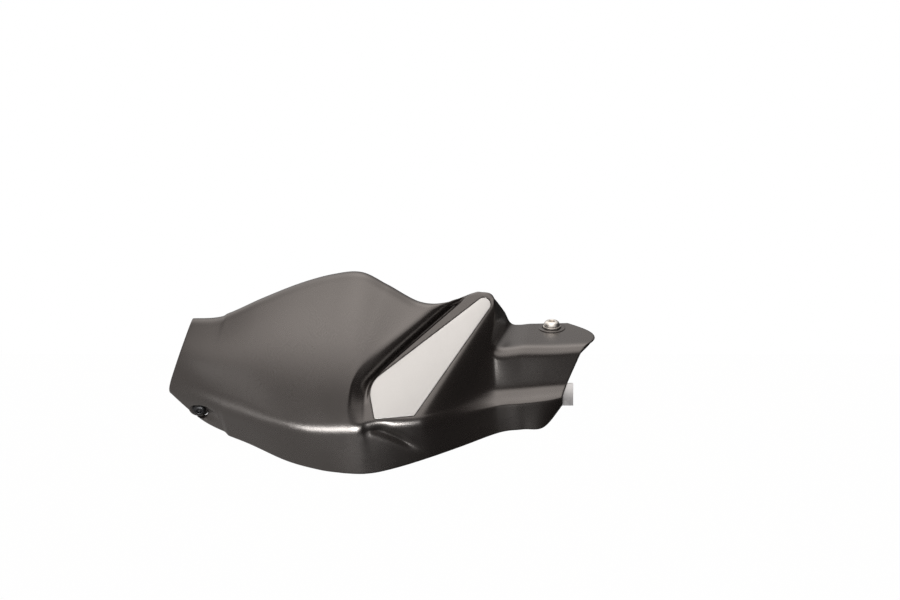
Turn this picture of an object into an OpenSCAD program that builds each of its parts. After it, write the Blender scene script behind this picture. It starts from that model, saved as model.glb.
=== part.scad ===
// Hand guard for the right end of a motorcycle handlebar.
// The origin is on the handlebar axis at the end of the bar, X runs inboard along the bar,
// -Y faces forward and Z is up.

/* [Shell] */
// Length of the guard from its outer tip to the inboard end of the tongue
guard_l = 284; // [270:1:300]
// Height of the guard from the crown to the lower edge
guard_h = 133.4; // [126:0.2:142]
// Wall thickness of the moulding
wall = 3; // [2.4:0.1:3.6]
// How far the face stands in front of the handlebar axis
reach = 92; // [88:0.5:98]
// Radius of the bow of the face, seen from above
bow_r = 230; // [215:1:260]
// Place along the bar where the bow stands furthest forward
bow_mid = 100; // [92:1:108]
// How far the crown leans back behind the bow
crown_lean = 18; // [14:0.5:22]
// How far the middle of the face bulges in front of a straight section
face_bulge = 6; // [3:0.5:9]
// Depth of the lip that turns back along the crown
lip_d = 8; // [6:0.5:11]
// Depth of the flange that turns back under the crease
flange_d = 20; // [17:0.5:24]
// Size of the rounding along the crown
fold_r = 7; // [5:0.5:9]
// Size of the rounding along the crease
crease_r = 4.5; // [3.5:0.25:5.5]
// Size of the rounding along the crown of the pod
pod_fold_r = 3; // [2:0.25:4]
// How far the outline steps out at the end of the narrow outer part
edge_step = 1.6; // [0.8:0.1:2.4]

/* [Valley and pod] */
// Depth of the valley behind the flat of the pod
valley_d = 5; // [3.5:0.25:6.5]
// Depth of the short groove that runs on under the pod
groove_d = 2.5; // [1.5:0.25:3.5]
// Depth of the pod's flat behind the bow's furthest point, at the lower end of the inlay
pod_back = 2; // [1:0.25:3]
// Turn of the pod's flat towards the inboard side, in degrees
pod_turn = 4.5; // [3:0.25:6]
// Lean of the pod's flat towards the back, in degrees
pod_lean = 9; // [7:0.25:11]

/* [Tongue] */
// How far the tongue's front edge stands in front of the handlebar axis
tongue_reach = 62; // [58:0.5:66]
// Distance from the handlebar axis to the tongue's rear edge
tongue_back = 17; // [16:0.5:20]
// How far the tongue's front wall is hollowed between its fold and its crease
tongue_hollow = 5.5; // [4:0.5:8]
// How far the inboard end of the tongue's top runs out sideways
tongue_nose = 12; // [8:0.5:15]

/* [Inlay] */
// Thickness of the inlay
inlay_t = 1.6; // [1.4:0.1:2.2]
// How far the inlay stands proud of the pod
inlay_proud = 0.4; // [0.2:0.05:0.6]
// Gap round the inlay in its recess
inlay_gap = 0.15; // [0.1:0.05:0.3]
// Diameter of the studs on the back of the inlay
stud_d = 3.2; // [2.8:0.1:4]
// Length of the studs that shows behind the shell
stud_out = 3.5; // [3:0.25:5]
// Outer diameter of the push-on clips
clip_d = 9; // [8:0.25:11]
// Thickness of the push-on clips
clip_t = 0.8; // [0.6:0.1:1.2]

/* [Handlebar] */
// Outer diameter of the handlebar
bar_d = 22.2; // [22:0.1:22.6]
// Bore of the handlebar's end
bar_bore_d = 16; // [15:0.5:17.5]

/* [Outer mounting] */
// Diameter of the bar-end weight
weight_d = 30; // [26:0.5:34]
// Thickness of the thrust disc between the weight and the handlebar's end
disc_t = 2; // [1.5:0.25:3]
// Thickness of the outer arm
arm_t = 9; // [8:0.5:11]
// Outer diameter of the arm's ring
arm_ring_d = 28; // [24:0.5:32]
// Width of the arm's shank
arm_w = 16; // [14:0.5:18]
// Diameter of the long bar-end bolt
end_bolt_d = 6; // [5:0.5:8]
// Length of the rubber expander
expander_l = 22; // [18:1:28]
// Length of the cone nut behind the expander
cone_l = 12; // [10:0.5:16]
// Gap between the expander and the bore of the bar
expander_gap = 0.1; // [0.05:0.05:0.3]
// Diameter of the small screw under the outer end
flange_screw_d = 5; // [4:0.5:6]
// Depth of the sunk seat of that screw
seat_d = 3.5; // [3:0.25:4.5]
// Length of the boss inside the flange, from the outer skin
flange_boss_l = 9; // [8:0.5:11]
// Thickness of the nylon washer between the boss and the arm
flange_washer_t = 1.5; // [1:0.25:2]

/* [Inner mounting] */
// Diameter of the screw on top of the tongue
tongue_screw_d = 6; // [5:0.5:6.5]
// Diameter of the raised pad round that screw
pad_d = 18; // [17:0.5:20]
// Height of the raised pad above the tongue
pad_h = 0.6; // [0.4:0.1:1]
// Length of the boss under the tongue, from the outer skin
tongue_boss_l = 6.5; // [6:0.5:8]
// Outer diameter of the rubber grommet
grommet_d = 12; // [11:0.5:13]
// Width of the clamp along the bar
clamp_w = 20; // [18:1:24]
// Thickness of the clamp round the sleeve
clamp_wall = 5; // [4:0.5:6.5]
// Thickness of the plastic sleeve on the bar
sleeve_t = 1.5; // [1:0.25:2]
// Gap between the two halves of the clamp
clamp_split = 1.6; // [1:0.2:2.4]
// Diameter of the clamp bolts
clamp_bolt_d = 5; // [4:0.5:6]
// Thickness of the lug under the tongue
lug_t = 9; // [8:0.5:11]
// Height of the bracket's foot
foot_h = 15; // [13:0.5:17]
// Thickness of the bracket's foot
foot_t = 6; // [5:0.5:7]
// Length of the foot along the bar
foot_l = 31; // [27:1:36]
// Thickness of the rubber pad in front of the foot
foot_pad_t = 2.5; // [1.5:0.25:3.5]

/* [Clearances] */
// Gap all round a screw in its thread or hole
screw_gap = 0.1; // [0.05:0.05:0.2]
// Gap between parts that fit one inside the other
fit_gap = 0.1; // [0.05:0.05:0.2]

/* [Hidden] */

// Stations of the shell, counted from the outer tip to the end of the tongue:
// 0 to 6 are the face, 7 to 8 the valley, 9 to 11 the pod, 12 its flank and 13 to 16 the tongue.
// Each rail gives [x, z] as seen from the front.
rail_l = 284;
rail_h = 133.4;
crown_rail = [[-22.6, 23.1], [-1.3, 25.1], [24.4, 36.5], [49.5, 46.4], [71.9, 52.5], [90.4, 53.7],
    [107.6, 45.4], [128.7, 34.2], [146.5, 33.6], [163.5, 39.3], [168.8, 40.1], [177, 37.4], [178.2, 21.1],
    [178.2, 2.6], [198, 3], [217.8, 3], [237.6, 4]];
crease_rail = [[-39.3, -23.8], [-16.5, -31.4], [7.3, -38.9], [31, -46.2], [51.5, -50.2], [68, -50.8],
    [77.9, -50.6], [83.8, -50.2], [89.8, -49.5], [95, -47.9], [110.9, -46.5], [128, -45.5], [151.8, -40.3],
    [179.5, -33], [194.7, -31.7], [209.9, -30], [223.1, -29]];
foot_rail = [[-38.6, -27.3], [-13.9, -48.2], [13.9, -60.7], [39.6, -72.3], [61.4, -78.2], [75.9, -80.2],
    [82.5, -80.7], [87.8, -80.9], [93.7, -80.7], [102.3, -79.5], [116.8, -75.9], [134, -70.6], [156.4, -63],
    [181.5, -54.1], [196.7, -52.1], [211.2, -50.5], [223.7, -35.6]];
// Rear edge of the tongue, from the pod's flank to the inboard end
rear_rail = [[184.8, 27.1], [190.7, 18.5], [203.3, 18.7], [215.8, 18.9], [227.7, 19.1]];
pod_first = 9;
pod_last = 11;
tongue_first = 13;
last = len(crown_rail) - 1;
long = guard_l / rail_l;
tall = guard_h / rail_h;

function scaled(rail) = [for (p = rail) [p[0] * long, p[1] * tall]];
crown = scaled(crown_rail);
crease = scaled(crease_rail);
foot = scaled(foot_rail);
lip = concat([for (k = [0:pod_last]) crown[k] - [0, 1.5]], scaled(rear_rail));

function mix(a, b, q) = a + (b - a) * q;
function clamped(q) = max(0, min(1, q));
function ease(q) = let (c = clamped(q)) c * c * (3 - 2 * c);
function soft_min(a, b, r) = (a + b - sqrt((a - b) * (a - b) + r * r)) / 2;
function unit(v) = v / norm(v);
function hump(t, first, rise, fall, end) = ease((t - first) / rise) * (1 - ease((t - fall) / (end - fall)));

// Smooth curve through points at whole numbers of t
function curve(pts, t) =
    let (n = len(pts) - 1, k = min(n - 1, floor(t)), f = t - k,
         a = pts[max(0, k - 1)], b = pts[k], c = pts[k + 1], d = pts[min(n, k + 2)])
    b + (c - a) * f / 2 + (a * 2 - b * 5 + c * 4 - d) * f * f / 2 + (b * 3 - a - c * 3 + d) * f * f * f / 2;
function bend(a, b, c, q) = a * (1 - q) * (1 - q) + b * 2 * q * (1 - q) + c * q * q;

// Outline step where the narrow outer part ends, about the bar's end
function step_at(x) = edge_step * (ease((x + 1.5) / 3) - 0.5) * exp(-pow(x / 16, 2));

// Depth of the bowed face at x, and how far the crown leans back there
function bow(x) = bow_r - sqrt(bow_r * bow_r - pow(x - bow_mid, 2)) - reach;
function lean(x) = crown_lean * exp(-pow((x - 75) / 70, 2));

// The pod's flat is a plane: it passes this point, turned and leant
pod_x = 98;
pod_z = -42;
pod_rise = tan(pod_lean) / cos(pod_turn);
function pod_y(x, z) = pod_back - reach + tan(pod_turn) * (x - pod_x) + pod_rise * (z - pod_z);

// Sideways course of a station line from the crown to the crease
knee_low = soft_min(0, 1, 0.1);
knee_high = soft_min(1.48, 1, 0.1);
function knee(q) = (soft_min(1.48 * q, 1, 0.1) - knee_low) / (knee_high - knee_low);
function late(q) = clamped((q - 0.06) / 0.9);
function course(t, q) =
    t < 5 ? q : t < 7 ? mix(q, knee(q), ease((t - 5) / 2)) : t < pod_first ? knee(q)
    : t < pod_last ? mix(knee(q), late(q), (t - pod_first) / 2)
    : t < tongue_first ? mix(late(q), q, (t - pod_last) / 2) : q;

// The valley starts further out at its lower end and rises steeply to the pod's edge
function valley_start(q) = 7.75 - 1.5 * ease(q / 0.85);
function on_pod(t, q) = let (start = valley_start(q)) ease((t - start + 0.35) / (9.2 - start));
function on_tongue(t) = ease((t - pod_last) / 2);
function valley(t, q) =
    let (start = valley_start(q))
    valley_d * ease((t - start) / (8.75 - start)) * (1 - ease((t - 8.75) / 0.25))
        * (1 - ease((q - 0.6) / 0.25));
function hollow(q) = 1.9 * pow(q, 1.3) * (1 - pow(q, 8));
function groove(t, q) =
    let (middle = 0.03 + 0.27 * pow(max(0, t - pod_first), 1.35))
    groove_d * hump(t, 7.4, 1.9, 10.2, 11) * exp(-pow((q - middle) / 0.12, 2));

// Points of the outer skin at station t, each from q = 0 at its upper side to q = 1 at its lower side
function face_pt(t, q) =
    let (a = curve(crown, t), b = curve(crease, t), x = mix(a[0], b[0], course(t, q)),
         z = mix(a[1] + step_at(a[0]), b[1], q),
         bowed = bow(x) + lean(x) * pow(1 - q, 1.6) - face_bulge * sin(180 * q),
         pod = pod_y(x, z) + valley(t, q),
         tongue = 0.1 * (x - crown[tongue_first][0]) - tongue_reach + tongue_hollow * hollow(q))
    [x, mix(mix(bowed, pod, on_pod(t, q)), tongue, on_tongue(t)), z];
function lip_pt(t, q) =
    let (fold = face_pt(t, 0), rear = curve(lip, t), rear_y = mix(fold[1] + lip_d, -tongue_back, on_tongue(t)))
    [mix(rear[0], fold[0], q) + tongue_nose * sin(180 * q) * ease(t - last + 1), mix(rear_y, fold[1], q),
        mix(rear[1], fold[2], q)];
function flange_depth(t) = mix(mix(3, flange_d, ease(t / 1.2)), flange_d / 2, on_tongue(t));
function flange_pt(t, q) =
    let (fold = face_pt(t, 1), edge = curve(foot, t))
    [mix(fold[0], edge[0], q), fold[1] + flange_depth(t) * q + groove(t, q),
        mix(fold[2], edge[1] - step_at(edge[0]), q)];
function fold_size(t) = mix(pod_fold_r, fold_r, clamped(max((8.4 - t), (t - 11.5))));

function crease_size(t) = crease_r * (2 - ease((t - 2) / 1.6));

// A row is a strip number and a place in it: lip, crown fold, face, crease fold, flange
strip_n = [3, 4, 16, 4, 7];
rows = [for (s = [0:4]) for (k = [0:strip_n[s] - 1]) [s, k / strip_n[s]], [4, 1]];
function skin_pt(t, row) =
    let (s = row[0], q = row[1],
         lip_l = norm(lip_pt(t, 0) - lip_pt(t, 1)), face_l = norm(face_pt(t, 0) - face_pt(t, 1)),
         flange_l = norm(flange_pt(t, 0) - flange_pt(t, 1)),
         a = min(0.7, fold_size(t) / lip_l), b = fold_size(t) / face_l, c = crease_size(t) / face_l,
         d = min(0.6, crease_size(t) / flange_l))
    s == 0 ? lip_pt(t, (1 - a) * q)
    : s == 1 ? bend(lip_pt(t, 1 - a), face_pt(t, 0), face_pt(t, b), q)
    : s == 2 ? face_pt(t, mix(b, 1 - c, q))
    : s == 3 ? bend(face_pt(t, 1 - c), face_pt(t, 1), flange_pt(t, d), q)
    : flange_pt(t, mix(d, 1, q));

// Station lines of the mesh, closer where the outline steps and where the pod's edge rises
lines = [0, 0.25, 0.5, 0.75, 1, 1.05, 1.1, 1.2, 1.4, 1.48, 1.55, 1.7, for (t = [2:0.25:8.01]) t,
    8.25, 8.45, 8.62, 8.75, 8.82, 8.88, 8.94, 9, 9.35, 9.7, 10, 10.35, 10.7, 11,
    for (t = [11.25:0.25:16.01]) t];
line_n = len(lines);
row_n = len(rows);
outer = [for (t = lines) [for (r = rows) skin_pt(min(t, last), r)]];
normal = [for (i = [0:line_n - 1]) [for (j = [0:row_n - 1])
    unit(cross(outer[i][min(row_n - 1, j + 1)] - outer[i][max(0, j - 1)],
        outer[min(line_n - 1, i + 1)][j] - outer[max(0, i - 1)][j]))]];
inner = [for (i = [0:line_n - 1]) [for (j = [0:row_n - 1]) outer[i][j] - normal[i][j] * wall]];

// Places of the fastenings, taken from the skin
tongue_t = 15.03;
tongue_q = 0.21;
tongue_at = lip_pt(tongue_t, tongue_q);
tongue_rear = lip_pt(tongue_t, 0);
tongue_front = lip_pt(tongue_t, 1);
tongue_tilt = atan2(tongue_rear[2] - tongue_front[2], tongue_rear[1] - tongue_front[1]);
flange_at = flange_pt(0.86, 0.66);
flange_out = norm([flange_at[1], flange_at[2]]);
flange_angle = atan2(-flange_at[2], -flange_at[1]);

// Stack of the flange screw, measured from the handlebar axis outwards
head_seat = flange_out - seat_d;
boss_end = flange_out - flange_boss_l;
arm_end = boss_end - flange_washer_t;

// Sizes of the fastenings
flange_head_d = flange_screw_d * 1.9;
flange_collar_d = flange_screw_d + 3;
flange_boss_d = flange_collar_d + 6;
tongue_head_d = tongue_screw_d * 1.85;
tongue_collar_d = tongue_screw_d + 2.6;
washer_t = 1.2;
sleeve_r = bar_d / 2 + sleeve_t;
clamp_r = sleeve_r + fit_gap / 2;
clamp_out = clamp_r + clamp_wall;
ear_y = clamp_out + 3.2;
ear_r = clamp_bolt_d / 2 + 3.5;
ear_d = 7;
web_w = 2 * ear_r - 2;
gusset_t = 9;
lug_d = pad_d;
clamp_x = tongue_at[0] - (clamp_w + lug_d) / 2 - 0.5;
clamp_in_x = clamp_x + clamp_w / 2;
arm_x = flange_at[0];
arm_out_x = arm_x - arm_t / 2;
arm_in_x = arm_x + arm_t / 2;
weight_l = -arm_in_x - disc_t;
end_hole_r = end_bolt_d / 2 + screw_gap;
bolt_tip_x = expander_l + cone_l;
expander_r = bar_bore_d / 2 - expander_gap;
cone_r = expander_r - 0.4;

// The inlay: corners as seen from the front, each with its rounding
inlay_corners = [[191.2, 52.5, 4.5], [94.7, -21.1, 16], [99, -43.9, 1.6], [125.1, -41.6, 1]];
stud_places = [[104, -34], [121, -18], [146, 9]];
// A point of the front view in the pod's own plane
function in_pod(p) =
    let (dx = p[0] * long - pod_x, dz = p[1] * tall - pod_z, dy = tan(pod_turn) * dx + pod_rise * dz)
    [dx * cos(pod_turn) + dy * sin(pod_turn),
        (dy * cos(pod_turn) - dx * sin(pod_turn)) * sin(pod_lean) + dz * cos(pod_lean)];
// Rounded corner b between a and c, as points on its arc
function corner(a, b, c, r) =
    let (u = unit(a - b), v = unit(c - b), half = acos(u * v) / 2, reach_l = r / tan(half),
         m = b + unit(u + v) * r / sin(half), p = b + u * reach_l - m, s = b + v * reach_l - m,
         turn = 180 - 2 * half, way = sign(p[0] * s[1] - p[1] * s[0]), steps = max(2, ceil(turn / 12)))
    [for (k = [0:steps]) let (w = way * turn * k / steps)
        m + [p[0] * cos(w) - p[1] * sin(w), p[0] * sin(w) + p[1] * cos(w)]];
inlay_n = len(inlay_corners);
inlay_outline = let (flat = [for (c = inlay_corners) in_pod(c)])
    [for (k = [0:inlay_n - 1])
        each corner(flat[(k + inlay_n - 1) % inlay_n], flat[k], flat[(k + 1) % inlay_n], inlay_corners[k][2])];

module at_pod() {
    translate([pod_x, pod_y(pod_x, pod_z), pod_z])
        rotate([0, 0, pod_turn]) rotate([90 - pod_lean, 0, 0]) children();
}
module at_tongue() { translate(tongue_at) rotate([tongue_tilt, 0, 0]) children(); }
module at_flange() { translate([flange_at[0], 0, 0]) rotate([flange_angle + 90, 0, 0]) children(); }
module at_clamp() { translate([clamp_x, 0, 0]) rotate([0, 90, 0]) children(); }
module at_studs() { for (p = stud_places) at_pod() translate(in_pod(p)) children(); }
module tube(r_out, r_in, h) {
    difference() {
        cylinder(h = h, r = r_out, $fn = 48);
        translate([0, 0, -1]) cylinder(h = h + 2, r = r_in, $fn = 48);
    }
}
// Screw with a domed head, its seat at z = 0 and its shank below
module button_screw(d, l, head_d) {
    head_h = head_d * 0.3;
    dome_r = (head_d * head_d / 4 + head_h * head_h) / (2 * head_h) * 1.25;
    difference() {
        union() {
            intersection() {
                cylinder(h = head_h, d = head_d, $fn = 48);
                translate([0, 0, head_h - dome_r]) sphere(r = dome_r, $fn = 64);
            }
            translate([0, 0, -l]) cylinder(h = l + 0.01, d = d, $fn = 32);
        }
        translate([0, 0, head_h * 0.4]) cylinder(h = head_h, d = d * 0.72, $fn = 6);
    }
}
// Screw with a tall round head and a six-sided socket
module cap_screw(d, l, head_h) {
    difference() {
        union() {
            cylinder(h = head_h, d = d * 1.6, $fn = 40);
            translate([0, 0, -l]) cylinder(h = l + 0.01, d = d, $fn = 32);
        }
        translate([0, 0, head_h * 0.45]) cylinder(h = head_h, d = d * 0.9, $fn = 6);
    }
}
// Straight bar with round ends between two points of the drawing plane
module link(p, q, w) {
    side = unit([p[1] - q[1], q[0] - p[0]]) * w / 2;
    translate(p) circle(d = w, $fn = 32);
    translate(q) circle(d = w, $fn = 32);
    polygon([p + side, q + side, q - side, p - side]);
}

// The bare moulded wall: outer skin, inner skin and the rims that join them
module shell_wall() {
    m = row_n;
    n = line_n * m;
    function quad(a, b, c, d) = [[a, c, b], [a, d, c]];
    polyhedron([for (c = outer) each c, for (c = inner) each c], [
        for (i = [0:line_n - 2]) for (j = [0:m - 2])
            let (a = i * m + j) each quad(a + 1, a + m + 1, a + m, a),
        for (i = [0:line_n - 2]) for (j = [0:m - 2])
            let (a = n + i * m + j) each quad(a, a + m, a + m + 1, a + 1),
        for (i = [0:line_n - 2]) let (a = i * m) each quad(a, a + m, n + a + m, n + a),
        for (i = [0:line_n - 2]) let (a = i * m + m - 1) each quad(n + a, n + a + m, a + m, a),
        for (j = [0:m - 2]) each quad(n + j, n + j + 1, j + 1, j),
        for (j = [0:m - 2]) let (a = (line_n - 1) * m + j) each quad(a, a + 1, n + a + 1, n + a)
    ], convexity = 8);
}

module guard_shell() {
    color([0.24, 0.22, 0.21]) difference() {
        union() {
            shell_wall();
            at_tongue() translate([0, 0, -tongue_boss_l])
                cylinder(h = tongue_boss_l + pad_h, d = pad_d, $fn = 48);
            at_flange() translate([0, 0, boss_end])
                cylinder(h = head_seat - 0.2 - boss_end, d = flange_boss_d, $fn = 48);
        }
        at_tongue() translate([0, 0, -tongue_boss_l - 5])
            cylinder(h = tongue_boss_l + 12, d = grommet_d + 2 * fit_gap, $fn = 48);
        at_flange() translate([0, 0, boss_end - 5])
            cylinder(h = flange_boss_l + 6, d = flange_collar_d + 2 * fit_gap, $fn = 48);
        at_flange() translate([0, 0, head_seat]) cylinder(h = seat_d + 8, d = flange_head_d + 2.5, $fn = 48);
        at_pod() translate([0, 0, inlay_proud - inlay_t]) linear_extrude(height = inlay_t + 2)
            offset(r = inlay_gap) polygon(inlay_outline);
        at_studs() translate([0, 0, -wall - 3]) cylinder(h = wall + 4, d = stud_d + 2 * fit_gap, $fn = 32);
    }
}

module accent_panel() {
    color([0.83, 0.82, 0.81]) {
        at_pod() translate([0, 0, inlay_proud - inlay_t]) linear_extrude(height = inlay_t)
            polygon(inlay_outline);
        at_studs() translate([0, 0, -wall - stud_out])
            cylinder(h = wall + stud_out + inlay_proud - 0.5, d = stud_d, $fn = 32);
    }
}

module accent_clips() {
    color([0.35, 0.35, 0.36]) at_studs() translate([0, 0, -wall - clip_t - fit_gap])
        tube(clip_d / 2, stud_d / 2 + screw_gap, clip_t);
}

module tongue_screw() {
    color([0.75, 0.74, 0.72]) at_tongue() translate([0, 0, pad_h + washer_t])
        button_screw(tongue_screw_d, tongue_boss_l + pad_h + washer_t + lug_t - 1, tongue_head_d);
}
module tongue_washer() {
    color([0.7, 0.69, 0.67]) at_tongue() translate([0, 0, pad_h])
        tube(grommet_d / 2 - 0.1, tongue_screw_d / 2 + screw_gap, washer_t);
}
module tongue_collar() {
    color([0.6, 0.6, 0.6]) at_tongue() translate([0, 0, -tongue_boss_l])
        tube(tongue_collar_d / 2, tongue_screw_d / 2 + screw_gap, tongue_boss_l + pad_h);
}
module tongue_grommet() {
    color([0.12, 0.12, 0.12]) at_tongue() translate([0, 0, -tongue_boss_l])
        tube(grommet_d / 2, tongue_collar_d / 2 + fit_gap / 2, tongue_boss_l + pad_h);
}

// Place of the lug's middle and of the foot's middle in the plane across the bar
lug_mid = [tongue_at[1], tongue_at[2]] + [sin(tongue_tilt), -cos(tongue_tilt)] * (tongue_boss_l + lug_t / 2);
foot_z = crease[last][1] + 0.5;
foot_gap = 2;
foot_y = face_pt(15.5, 0.78)[1] + wall + foot_gap + foot_pad_t + foot_t / 2;
foot_mid = [foot_y, foot_z];
foot_in_x = crease[last][0] + 7.4;

module half_clamp(side) {
    difference() {
        intersection() {
            union() {
                at_clamp() translate([0, 0, -clamp_w / 2]) cylinder(h = clamp_w, r = clamp_out, $fn = 64);
                for (end = [-1, 1]) translate([clamp_x - clamp_w / 2, end * ear_y - ear_r, -ear_d])
                    cube([clamp_w, 2 * ear_r, 2 * ear_d]);
            }
            translate([clamp_x - clamp_w, -60, side > 0 ? clamp_split / 2 : -60 - clamp_split / 2])
                cube([2 * clamp_w, 120, 60]);
        }
        at_clamp() translate([0, 0, -clamp_w]) cylinder(h = 2 * clamp_w, r = clamp_r, $fn = 64);
        for (end = [-1, 1]) translate([clamp_x, end * ear_y, -20])
            cylinder(h = 40, r = clamp_bolt_d / 2 + screw_gap, $fn = 32);
    }
}
module inner_bracket() {
    color([0.69, 0.68, 0.68]) {
        half_clamp(1);
        difference() {
            union() {
                at_tongue() translate([0, 0, -tongue_boss_l - lug_t]) cylinder(h = lug_t, d = lug_d, $fn = 48);
                translate([clamp_in_x - 3, web_w / 2 - ear_y, clamp_split / 2 + 0.5]) mirror([0, 1, 0])
                    cube([tongue_at[0] - clamp_in_x + 8, web_w, ear_d - clamp_split / 2 - 1.2]);
                translate([tongue_at[0] - gusset_t / 2, 0, 0])
                    rotate([90, 0, 90]) linear_extrude(height = gusset_t) polygon([lug_mid + [-5, 0], lug_mid + [4.5, -2], foot_mid + [0, 2 - foot_h / 2],
                        foot_mid + [0, foot_h / 2 - 1]]);
                translate([foot_in_x - foot_l, foot_y - foot_t / 2, foot_z - foot_h / 2])
                    cube([foot_l, foot_t, foot_h]);
            }
            at_tongue() translate([0, 0, -tongue_boss_l - lug_t - 2])
                cylinder(h = lug_t + 4, r = tongue_screw_d / 2 + screw_gap, $fn = 32);
        }
    }
}
module bracket_pad() {
    color([0.1, 0.1, 0.1])
        translate([foot_in_x - foot_l + 2, foot_y - foot_t / 2 - foot_pad_t, foot_z - foot_h / 2 + 1])
            cube([foot_l - 9, foot_pad_t, foot_h - 2]);
}
module clamp_sleeve() {
    color([0.15, 0.15, 0.16]) difference() {
        at_clamp() translate([0, 0, -clamp_w / 2]) tube(sleeve_r, bar_d / 2, clamp_w);
        translate([clamp_x - clamp_w, 0, -clamp_split / 2]) cube([2 * clamp_w, 2 * sleeve_r, clamp_split]);
    }
}
module clamp_cap() { color([0.66, 0.66, 0.66]) half_clamp(-1); }
module clamp_bolts() {
    color([0.2, 0.2, 0.2]) for (end = [-1, 1]) translate([clamp_x, end * ear_y, -ear_d - washer_t])
        rotate([180, 0, 0]) cap_screw(clamp_bolt_d, 2 * ear_d + washer_t - 1, clamp_bolt_d);
}
module clamp_washers() {
    color([0.6, 0.6, 0.6]) for (end = [-1, 1]) translate([clamp_x, end * ear_y, -ear_d - washer_t])
        tube(clamp_bolt_d * 0.9, clamp_bolt_d / 2 + screw_gap, washer_t);
}

module outer_arm() {
    color([0.62, 0.62, 0.62]) difference() {
        union() {
            translate([arm_out_x, 0, 0]) rotate([0, 90, 0]) cylinder(h = arm_t, d = arm_ring_d, $fn = 64);
            translate([arm_out_x, 0, 0]) rotate([flange_angle, 0, 0])
                translate([0, 8 - arm_end, -arm_w / 2]) cube([arm_t, arm_end - 8, arm_w]);
            at_flange() translate([0, 0, arm_end - 16]) cylinder(h = 16, d = flange_boss_d, $fn = 48);
        }
        translate([arm_out_x - 1, 0, 0]) rotate([0, 90, 0]) cylinder(h = arm_t + 2, r = end_hole_r, $fn = 48);
        at_flange() translate([0, 0, arm_end - 14])
            cylinder(h = 20, r = flange_screw_d / 2 + screw_gap, $fn = 32);
        for (side = [-1, 1]) translate([arm_x + side * (arm_t / 2 - 1), 0, 0]) rotate([flange_angle, 0, 0])
            translate([-1.5, -arm_end + 20, -arm_w / 2 + 3]) cube([3, arm_end - 38, arm_w - 6]);
    }
}
module flange_screw() {
    color([0.08, 0.08, 0.08]) at_flange() translate([0, 0, head_seat])
        button_screw(flange_screw_d, head_seat - arm_end + 12, flange_head_d);
}
module flange_collar() {
    color([0.6, 0.6, 0.6]) at_flange() translate([0, 0, boss_end])
        tube(flange_collar_d / 2, flange_screw_d / 2 + screw_gap, head_seat - boss_end);
}
module flange_washer() {
    color([0.15, 0.15, 0.15]) at_flange() translate([0, 0, arm_end])
        tube(flange_boss_d / 2, flange_screw_d / 2 + screw_gap, flange_washer_t);
}

module bar_end_weight() {
    color([0.3, 0.3, 0.31]) translate([-disc_t - weight_l, 0, 0]) rotate([0, 90, 0]) difference() {
        cylinder(h = weight_l, d = weight_d, $fn = 64);
        translate([0, 0, -1]) cylinder(h = weight_l + 2, r = end_hole_r, $fn = 48);
        translate([0, 0, weight_l * 0.4]) tube(weight_d / 2 + 1, weight_d / 2 - 1, weight_l * 0.2);
    }
}
module thrust_disc() {
    color([0.55, 0.55, 0.55]) translate([-disc_t, 0, 0]) rotate([0, 90, 0]) tube(bar_d / 2, end_hole_r, disc_t);
}
module bar_end_washer() {
    color([0.7, 0.7, 0.7]) translate([arm_out_x - washer_t, 0, 0]) rotate([0, 90, 0])
        tube(end_bolt_d * 1.1, end_hole_r, washer_t);
}
module bar_end_bolt() {
    color([0.2, 0.2, 0.2]) translate([arm_out_x - washer_t, 0, 0]) rotate([0, -90, 0])
        button_screw(end_bolt_d, bolt_tip_x - arm_out_x + washer_t, end_bolt_d * 1.75);
}
module expander_sleeve() {
    color([0.1, 0.1, 0.1]) rotate([0, 90, 0]) difference() {
        cylinder(h = expander_l, r = expander_r, $fn = 64);
        translate([0, 0, -1]) cylinder(h = expander_l + 2, r = end_hole_r + 0.4, $fn = 48);
    }
}
module expander_cone() {
    color([0.7, 0.65, 0.45]) translate([expander_l, 0, 0]) rotate([0, 90, 0]) difference() {
        cylinder(h = cone_l, r1 = cone_r - 1.5, r2 = cone_r, $fn = 64);
        translate([0, 0, -1]) cylinder(h = cone_l + 2, r = end_hole_r, $fn = 48);
    }
}

guard_shell();
accent_panel();
accent_clips();
tongue_screw();
tongue_washer();
tongue_collar();
tongue_grommet();
inner_bracket();
bracket_pad();
clamp_sleeve();
clamp_cap();
clamp_bolts();
clamp_washers();
outer_arm();
flange_screw();
flange_collar();
flange_washer();
bar_end_weight();
bar_end_washer();
bar_end_bolt();
thrust_disc();
expander_sleeve();
expander_cone();
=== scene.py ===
"""Hand guard for the right end of a motorcycle handlebar: a moulded shell with a satin inlay,
screwed to an arm at the bar's end and to a clamp bracket further in.

Lengths inside the making of a shape are millimetres and become metres with the finished mesh.
The origin is on the handlebar's axis at the bar's end, X runs inboard, -Y faces forward, Z is up.
"""

import math

import bmesh
import bpy
import numpy as np
from bpy.props import FloatProperty, FloatVectorProperty, IntProperty, PointerProperty
from mathutils import Matrix, Vector


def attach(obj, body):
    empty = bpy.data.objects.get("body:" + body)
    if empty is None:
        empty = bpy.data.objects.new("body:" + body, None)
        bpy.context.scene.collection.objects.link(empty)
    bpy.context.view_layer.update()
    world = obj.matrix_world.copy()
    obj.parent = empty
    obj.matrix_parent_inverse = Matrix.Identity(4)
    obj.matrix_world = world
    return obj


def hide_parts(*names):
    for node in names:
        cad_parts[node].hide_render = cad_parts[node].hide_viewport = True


bl_info = {
    "name": "Hand Guard",
    "version": (1, 0, 0),
    "blender": (4, 5, 0),
    "location": "3D View > Sidebar > Hand Guard",
    "description": "Builds a moulded motorcycle hand guard with its inlay, brackets and screws",
    "category": "Add Mesh",
}

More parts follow.
